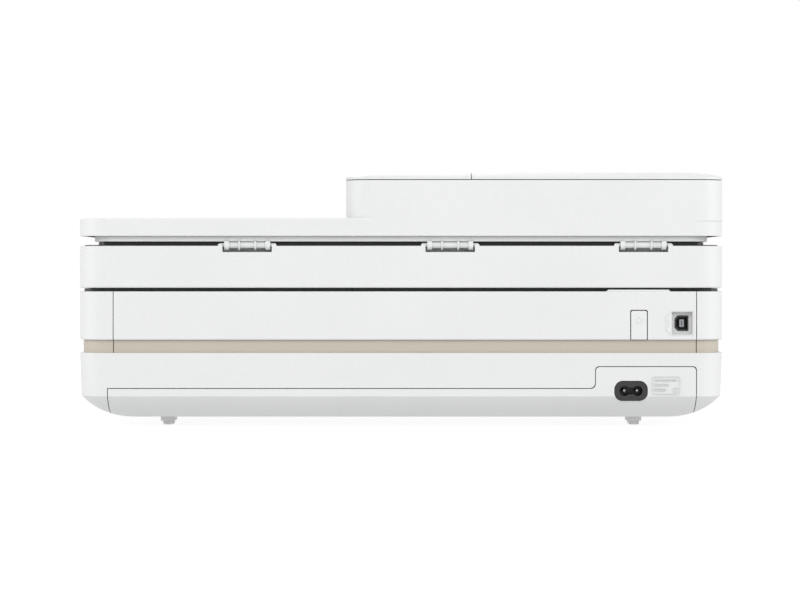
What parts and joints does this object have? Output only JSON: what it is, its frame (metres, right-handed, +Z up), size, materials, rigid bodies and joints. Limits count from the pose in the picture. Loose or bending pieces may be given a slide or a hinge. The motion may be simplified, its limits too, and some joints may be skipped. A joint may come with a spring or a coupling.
{
  "type": "inkjet printer",
  "caption": "Compact all-in-one inkjet printer with a lifting scanner, a lid with a document feeder, a pull-out paper tray and a travelling print carriage.",
  "frame": {"origin": "on the floor under the middle of the outline", "axes": "+Z up, the front faces -Y, the rear with the sockets faces +Y, +X is to the right seen from the front"},
  "size_m": [0.4326, 0.361, 0.1709],
  "materials": {
    "white_casing": "fine spark-eroded grain",
    "sand_band": "fine grain",
    "foot_rubber": "dull",
    "screw_steel": "zinc",
    "black_connector": "moulded",
    "module_black": "moulded",
    "board_green": "solder mask",
    "sheet_steel": "galvanised",
    "ground_steel": "ground",
    "frame_grey": "moulded",
    "carriage_black": "moulded",
    "latch_grey": "moulded",
    "cartridge_plastic": "moulded",
    "roller_rubber": "ground",
    "pinch_plastic": "acetal",
    "belt_rubber": "toothed",
    "guide_grey": "moulded",
    "bezel_black": "satin",
    "clear_glass": "float glass",
    "display_black": "cover glass",
    "head_black": "moulded",
    "pad_foam": "foam with a smooth skin"
  },
  "bodies": {
    "base": {"base_pan": "white_casing", "lower_shell": "white_casing", "rubber_feet": "foot_rubber", "case_screws": "screw_steel", "accent_band": "sand_band", "rear_panel": "white_casing", "upper_casing": "white_casing", "power_inlet": "black_connector", "usb_port": "black_connector", "power_supply": "module_black", "main_board": "board_green", "print_chassis": "sheet_steel", "carriage_rail": "ground_steel", "paper_guides": "frame_grey", "drive_motors": "module_black", "carriage_belt": "belt_rubber", "service_station": "frame_grey", "output_tray": "frame_grey", "access_deck": "frame_grey"},
    "button": {"power_button": "white_casing"},
    "motor_pinion": {"motor_pinion": "latch_grey"},
    "feed_roller": {"feed_roller": "roller_rubber"},
    "turn_roller": {"turn_roller": "roller_rubber"},
    "exit_roller": {"exit_roller": "roller_rubber"},
    "pinch_rollers": {"pinch_rollers": "pinch_plastic"},
    "carriage": {"carriage": "carriage_black", "ink_cartridges": "cartridge_plastic"},
    "latch_colour": {"latch_colour": "latch_grey"},
    "latch_black": {"latch_black": "latch_grey"},
    "motor_pulley": {"motor_pulley": "latch_grey"},
    "idler_pulley": {"idler_pulley": "latch_grey"},
    "cap_sled": {"cap_sled": "carriage_black"},
    "pick_arm": {"pick_arm": "carriage_black"},
    "pick_roller": {"pick_roller": "roller_rubber"},
    "tray": {"paper_tray": "frame_grey", "tray_front": "white_casing"},
    "tray_pinion": {"tray_pinion": "latch_grey"},
    "tray_guide_left": {"tray_guide_left": "guide_grey"},
    "tray_guide_right": {"tray_guide_right": "guide_grey"},
    "tray_length_guide": {"tray_length_guide": "guide_grey"},
    "output_extender": {"output_extender": "frame_grey"},
    "paper_stop": {"paper_stop": "frame_grey"},
    "scanner": {"scanner_housing": "white_casing", "scan_rod": "ground_steel", "scanner_bezel": "bezel_black", "scanner_glass": "clear_glass"},
    "scan_head": {"scan_head": "head_black"},
    "control_panel": {"control_panel": "bezel_black", "display_glass": "display_black"},
    "lid": {"lid_shell": "white_casing", "lid_liner": "white_casing", "document_pad": "pad_foam", "feeder_frame": "frame_grey"},
    "jam_cover": {"jam_cover": "white_casing"},
    "document_cover": {"document_cover": "white_casing"},
    "feeder_pick_roller": {"feeder_pick_roller": "roller_rubber"},
    "feeder_turn_roller": {"feeder_turn_roller": "roller_rubber"},
    "feeder_exit_roller": {"feeder_exit_roller": "roller_rubber"},
    "document_guide_rear": {"document_guide_rear": "guide_grey"},
    "document_guide_front": {"document_guide_front": "guide_grey"}
  },
  "joints": [
    {"name": "power_button_press", "type": "slide", "parent": "base", "child": "button", "axis": [0, -1, 0], "range_m": [0, 0.0015], "stiffness_N_per_m": 400},
    {"name": "feed_roller_spin", "type": "hinge", "parent": "base", "child": "feed_roller", "pos_m": [0, 0.124, 0.044], "axis": [1, 0, 0], "continuous": true},
    {"name": "motor_pinion_spin", "type": "hinge", "parent": "base", "child": "motor_pinion", "pos_m": [0.14, 0.11954, 0.03126], "axis": [1, 0, 0], "continuous": true},
    {"name": "turn_roller_spin", "type": "hinge", "parent": "base", "child": "turn_roller", "pos_m": [0, 0.142, 0.03], "axis": [1, 0, 0], "continuous": true},
    {"name": "exit_roller_spin", "type": "hinge", "parent": "base", "child": "exit_roller", "pos_m": [0, 0.064, 0.044], "axis": [1, 0, 0], "continuous": true},
    {"name": "pinch_roller_spin", "type": "hinge", "parent": "base", "child": "pinch_rollers", "pos_m": [0, 0.124, 0.0538], "axis": [1, 0, 0], "continuous": true},
    {"name": "carriage_travel", "type": "slide", "parent": "base", "child": "carriage", "axis": [-1, 0, 0], "range_m": [0, 0.3]},
    {"name": "latch_colour_lift", "type": "hinge", "parent": "carriage", "child": "latch_colour", "pos_m": [0.145, 0.1274, 0.081], "axis": [-1, 0, 0], "range_deg": [0, 8]},
    {"name": "latch_black_lift", "type": "hinge", "parent": "carriage", "child": "latch_black", "pos_m": [0.181, 0.1274, 0.081], "axis": [-1, 0, 0], "range_deg": [0, 8]},
    {"name": "motor_pulley_spin", "type": "hinge", "parent": "base", "child": "motor_pulley", "pos_m": [0.19, 0.155, 0.066], "axis": [0, 1, 0], "continuous": true},
    {"name": "idler_pulley_spin", "type": "hinge", "parent": "base", "child": "idler_pulley", "pos_m": [-0.19, 0.155, 0.066], "axis": [0, 1, 0], "continuous": true},
    {"name": "cap_sled_shift", "type": "slide", "parent": "base", "child": "cap_sled", "axis": [1, 0, 0], "range_m": [0, 0.003]},
    {"name": "pick_arm_lift", "type": "hinge", "parent": "base", "child": "pick_arm", "pos_m": [0, 0.062, 0.0356], "axis": [1, 0, 0], "range_deg": [0, 10]},
    {"name": "pick_roller_spin", "type": "hinge", "parent": "pick_arm", "child": "pick_roller", "pos_m": [0, 0.102, 0.0204], "axis": [1, 0, 0], "continuous": true},
    {"name": "tray_pull", "type": "slide", "parent": "base", "child": "tray", "axis": [0, -1, 0], "range_m": [0, 0.22]},
    {"name": "tray_guide_left_slide", "type": "slide", "parent": "tray", "child": "tray_guide_left", "axis": [1, 0, 0], "range_m": [0, 0.058]},
    {"name": "tray_guide_right_slide", "type": "slide", "parent": "tray", "child": "tray_guide_right", "axis": [-1, 0, 0], "range_m": [0, 0.058]},
    {"name": "tray_pinion_turn", "type": "hinge", "parent": "tray", "child": "tray_pinion", "pos_m": [0, 0, 0.011], "axis": [0, 0, 1], "range_deg": [-400, 400]},
    {"name": "tray_length_guide_slide", "type": "slide", "parent": "tray", "child": "tray_length_guide", "axis": [0, 1, 0], "range_m": [0, 0.07]},
    {"name": "output_extender_pull", "type": "slide", "parent": "base", "child": "output_extender", "axis": [0, -1, 0], "range_m": [0, 0.12]},
    {"name": "paper_stop_lift", "type": "hinge", "parent": "output_extender", "child": "paper_stop", "pos_m": [0, -0.174, 0.0467], "axis": [1, 0, 0], "range_deg": [0, 85]},
    {"name": "scanner_lift", "type": "hinge", "parent": "base", "child": "scanner", "pos_m": [0, 0.175, 0.099], "axis": [-1, 0, 0], "range_deg": [0, 35]},
    {"name": "scan_head_travel", "type": "slide", "parent": "scanner", "child": "scan_head", "axis": [1, 0, 0], "range_m": [0, 0.31]},
    {"name": "control_panel_tilt", "type": "hinge", "parent": "scanner", "child": "control_panel", "pos_m": [0, -0.178, 0.1168], "axis": [-1, 0, 0], "range_deg": [0, 40]},
    {"name": "lid_lift", "type": "hinge", "parent": "scanner", "child": "lid", "pos_m": [0, 0.177, 0.1219], "axis": [-1, 0, 0], "range_deg": [0, 75]},
    {"name": "jam_cover_lift", "type": "hinge", "parent": "lid", "child": "jam_cover", "pos_m": [-0.21515, 0, 0.167], "axis": [0, -1, 0], "range_deg": [0, 75]},
    {"name": "document_cover_flip", "type": "hinge", "parent": "lid", "child": "document_cover", "pos_m": [0.0359, 0, 0.167], "axis": [0, 1, 0], "range_deg": [0, 150]},
    {"name": "feeder_turn_spin", "type": "hinge", "parent": "lid", "child": "feeder_turn_roller", "pos_m": [-0.169, 0, 0.1375], "axis": [0, -1, 0], "continuous": true},
    {"name": "feeder_pick_spin", "type": "hinge", "parent": "lid", "child": "feeder_pick_roller", "pos_m": [-0.072, 0, 0.1594], "axis": [0, -1, 0], "continuous": true},
    {"name": "feeder_exit_spin", "type": "hinge", "parent": "lid", "child": "feeder_exit_roller", "pos_m": [-0.118, 0, 0.1449], "axis": [0, -1, 0], "continuous": true},
    {"name": "document_guide_rear_slide", "type": "slide", "parent": "lid", "child": "document_guide_rear", "axis": [0, -1, 0], "range_m": [0, 0.05]},
    {"name": "document_guide_front_slide", "type": "slide", "parent": "lid", "child": "document_guide_front", "axis": [0, 1, 0], "range_m": [0, 0.05]}
  ],
  "couplings": [
    {"joint": "motor_pinion_spin", "follows": "feed_roller_spin", "ratio": -2},
    {"joint": "turn_roller_spin", "follows": "feed_roller_spin", "ratio": 0.5},
    {"joint": "exit_roller_spin", "follows": "feed_roller_spin", "ratio": 1},
    {"joint": "pinch_roller_spin", "follows": "feed_roller_spin", "ratio": -1.7143},
    {"joint": "motor_pulley_spin", "follows": "carriage_travel", "rad_per_m": -166.67},
    {"joint": "idler_pulley_spin", "follows": "carriage_travel", "rad_per_m": -166.67},
    {"joint": "tray_guide_right_slide", "follows": "tray_guide_left_slide", "ratio": 1},
    {"joint": "tray_pinion_turn", "follows": "tray_guide_left_slide", "rad_per_m": -111.11},
    {"joint": "feeder_pick_spin", "follows": "feeder_turn_spin", "ratio": -1.625},
    {"joint": "feeder_exit_spin", "follows": "feeder_turn_spin", "ratio": 3.4211},
    {"joint": "document_guide_front_slide", "follows": "document_guide_rear_slide", "ratio": 1}
  ]
}
